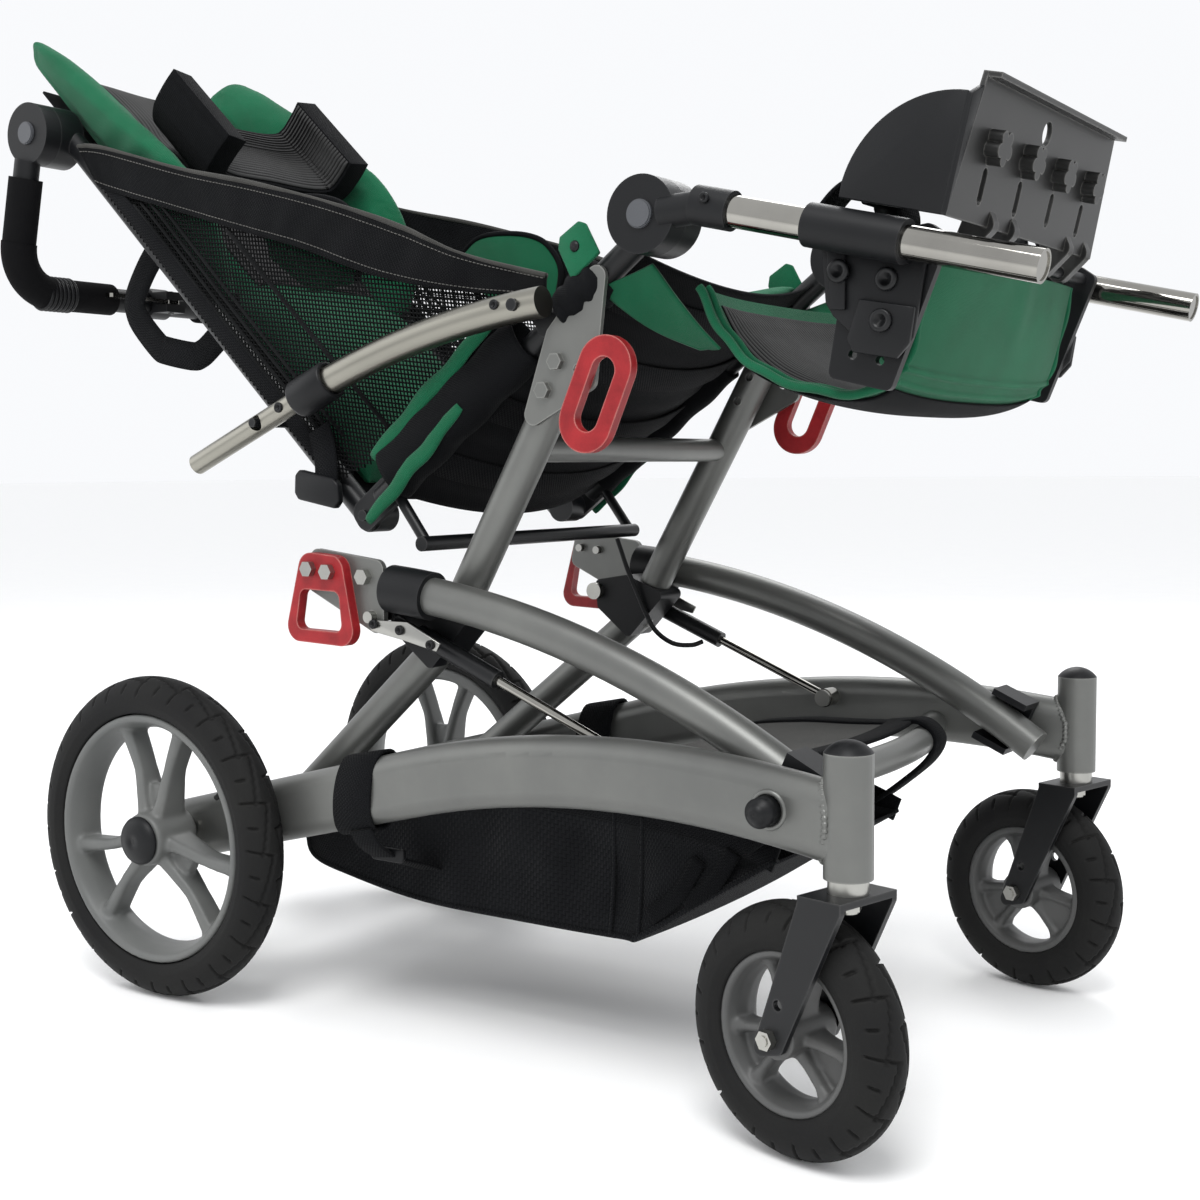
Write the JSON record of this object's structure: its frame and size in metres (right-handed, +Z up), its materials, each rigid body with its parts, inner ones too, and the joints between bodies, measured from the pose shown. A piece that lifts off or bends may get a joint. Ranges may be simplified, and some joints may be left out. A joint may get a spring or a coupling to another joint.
{
  "type": "special needs buggy",
  "caption": "Tilting and reclining seat buggy on an arched base with rear wheels, front casters, push handle, leg rest, footplate and fabric basket.",
  "frame": {"origin": "on the floor under the middle of the rear axle", "axes": "+X forward in the direction of travel, +Y to the occupant's left, +Z up"},
  "size_m": [1.0953, 0.5711, 0.9183],
  "materials": {
    "frame": "satin warm grey powder coat",
    "rim": "satin grey moulded",
    "tyre": "matt dark rubber with tread",
    "black_plastic": "satin black moulded",
    "black_metal": "satin black powder coat",
    "steel": "bright zinc plate",
    "chrome": "mirror",
    "polished": "polished",
    "red_coat": "red powder coat, worn",
    "grip_foam": "matt foam",
    "button": "satin grey moulded",
    "green_fabric": "woven green",
    "black_fabric": "woven black webbing and mesh",
    "basket_cloth": "coated woven black"
  },
  "bodies": {
    "base": {"right_side_frame": "frame", "left_side_frame": "frame", "cross_tubes": "frame", "rear_axle": "steel", "axle_spacers": "steel", "barrel_caps": "black_plastic", "arch_guides": "black_plastic", "chassis_bolts": "steel", "basket": "basket_cloth"},
    "brake": {"brake_bar": "black_plastic"},
    "right_rear_wheel": {"right_rear_tyre": "tyre", "right_rear_rim": "rim", "right_hub_cap": "black_plastic"},
    "left_rear_wheel": {"left_rear_tyre": "tyre", "left_rear_rim": "rim", "left_hub_cap": "black_plastic"},
    "right_caster": {"right_caster_fork": "black_metal", "right_caster_stem": "steel"},
    "left_caster": {"left_caster_fork": "black_metal", "left_caster_stem": "steel"},
    "right_caster_wheel": {"right_caster_tyre": "tyre", "right_caster_rim": "rim"},
    "left_caster_wheel": {"left_caster_tyre": "tyre", "left_caster_rim": "rim"},
    "seat_frame": {"seat_stand": "frame", "stand_blocks": "black_plastic", "pivot_pins": "steel", "top_brackets": "frame", "front_rings": "red_coat", "seat_rails": "black_metal", "seat_sling": "black_fabric", "seat_cushion": "green_fabric", "side_panels": "black_fabric", "release_cable": "black_plastic"},
    "upper_arches": {"right_upper_arch": "frame", "left_upper_arch": "frame", "arch_clamps": "black_plastic", "rear_brackets": "frame", "rear_rings": "red_coat", "ring_bolts": "steel"},
    "strut_rods": {"strut_rods": "steel"},
    "strut_cylinders": {"strut_cylinders": "black_plastic"},
    "back": {"back_canes": "black_metal", "back_sling": "black_fabric", "back_cushion": "green_fabric", "headrest": "black_fabric"},
    "recline_arms": {"recline_arms": "polished"},
    "recline_slides": {"recline_slides": "frame"},
    "handle": {"handle_bar": "black_metal", "handle_grips": "grip_foam"},
    "right_handle_button": {"right_handle_button": "button"},
    "left_handle_button": {"left_handle_button": "button"},
    "release_lever": {"release_lever": "steel"},
    "leg_rest": {"leg_arms": "black_plastic", "leg_tubes": "chrome", "calf_sling": "green_fabric"},
    "right_leg_button": {"right_leg_button": "button"},
    "left_leg_button": {"left_leg_button": "button"},
    "foot_carriage": {"foot_carriage": "black_metal"},
    "footplate": {"footplate": "black_metal"}
  },
  "joints": [
    {"name": "right_rear_wheel_spin", "type": "hinge", "parent": "base", "child": "right_rear_wheel", "pos_m": [0, -0.212, 0.1525], "axis": [0, 1, 0], "continuous": true},
    {"name": "left_rear_wheel_spin", "type": "hinge", "parent": "base", "child": "left_rear_wheel", "pos_m": [0, 0.212, 0.1525], "axis": [0, 1, 0], "continuous": true},
    {"name": "right_caster_swivel", "type": "hinge", "parent": "base", "child": "right_caster", "pos_m": [0.727, -0.2435, 0.256], "axis": [0, 0, 1], "continuous": true},
    {"name": "left_caster_swivel", "type": "hinge", "parent": "base", "child": "left_caster", "pos_m": [0.727, 0.2435, 0.256], "axis": [0, 0, 1], "continuous": true},
    {"name": "right_caster_spin", "type": "hinge", "parent": "right_caster", "child": "right_caster_wheel", "pos_m": [0.68229, -0.23268, 0.094], "axis": [-0.2351, -0.972, 0], "continuous": true},
    {"name": "left_caster_spin", "type": "hinge", "parent": "left_caster", "child": "left_caster_wheel", "pos_m": [0.68229, 0.25432, 0.094], "axis": [-0.2351, -0.972, 0], "continuous": true},
    {"name": "brake_pedal", "type": "hinge", "parent": "base", "child": "brake", "pos_m": [0, 0, 0.1525], "axis": [0, -1, 0], "range_deg": [0, 15]},
    {"name": "tilt", "type": "hinge", "parent": "base", "child": "seat_frame", "pos_m": [0.105, 0, 0.183], "axis": [0, 1, 0], "range_deg": [0, 16], "deforming": ["release_cable"]},
    {"name": "upper_arch_pivot", "type": "hinge", "parent": "seat_frame", "child": "upper_arches", "pos_m": [0.263, 0, 0.371], "axis": [0, 1, 0], "range_deg": [-19.2, 0.2]},
    {"name": "strut_swing", "type": "hinge", "parent": "base", "child": "strut_rods", "pos_m": [0.5, 0, 0.272], "axis": [0, 1, 0], "range_deg": [-7.9, 0.2]},
    {"name": "strut_stroke", "type": "slide", "parent": "strut_rods", "child": "strut_cylinders", "axis": [-0.9227, 0, 0.3854], "range_m": [-0.061, 0.001]},
    {"name": "recline", "type": "hinge", "parent": "seat_frame", "child": "back", "pos_m": [0.22, 0, 0.456], "axis": [0, -1, 0], "range_deg": [0, 30], "deforming": ["side_panels"]},
    {"name": "recline_arm_pivot", "type": "hinge", "parent": "seat_frame", "child": "recline_arms", "pos_m": [0.41497, 0, 0.62596], "axis": [0, 1, 0], "range_deg": [-7, 0.2]},
    {"name": "recline_slide", "type": "slide", "parent": "recline_arms", "child": "recline_slides", "axis": [-0.9184, 0, -0.3955], "range_m": [-0.001, 0.0505]},
    {"name": "handle_fold", "type": "hinge", "parent": "back", "child": "handle", "pos_m": [-0.19541, 0, 0.83207], "axis": [0, 1, 0], "range_deg": [0, 110]},
    {"name": "right_handle_press", "type": "slide", "parent": "handle", "child": "right_handle_button", "axis": [0, 1, 0], "range_m": [0, 0.003], "stiffness_N_per_m": 400},
    {"name": "left_handle_press", "type": "slide", "parent": "handle", "child": "left_handle_button", "axis": [0, -1, 0], "range_m": [0, 0.003], "stiffness_N_per_m": 400},
    {"name": "lever_squeeze", "type": "hinge", "parent": "handle", "child": "release_lever", "pos_m": [-0.20341, 0, 0.68007], "axis": [0, 0, -1], "range_deg": [0, 8], "stiffness_Nm_per_rad": 1.5},
    {"name": "leg_rest_raise", "type": "hinge", "parent": "seat_frame", "child": "leg_rest", "pos_m": [0.52827, 0, 0.6883], "axis": [0, -1, 0], "range_deg": [-40, 15], "deforming": ["calf_sling"]},
    {"name": "right_leg_press", "type": "slide", "parent": "leg_rest", "child": "right_leg_button", "axis": [0, 1, 0], "range_m": [0, 0.003], "stiffness_N_per_m": 400},
    {"name": "left_leg_press", "type": "slide", "parent": "leg_rest", "child": "left_leg_button", "axis": [0, -1, 0], "range_m": [0, 0.003], "stiffness_N_per_m": 400},
    {"name": "foot_slide", "type": "slide", "parent": "leg_rest", "child": "foot_carriage", "axis": [0.972, 0, -0.2351], "range_m": [-0.02, 0.05]},
    {"name": "footplate_fold", "type": "hinge", "parent": "foot_carriage", "child": "footplate", "pos_m": [0.75264, 0, 0.6546], "axis": [0, 1, 0], "range_deg": [0, 28]}
  ],
  "couplings": [
    {"joint": "upper_arch_pivot", "follows": "tilt", "ratio": -1.186},
    {"joint": "strut_swing", "follows": "tilt", "ratio": -0.48},
    {"joint": "strut_stroke", "follows": "tilt", "m_per_rad": -0.216},
    {"joint": "recline_arm_pivot", "follows": "recline", "ratio": -0.228},
    {"joint": "recline_slide", "follows": "recline", "m_per_rad": 0.0945}
  ]
}
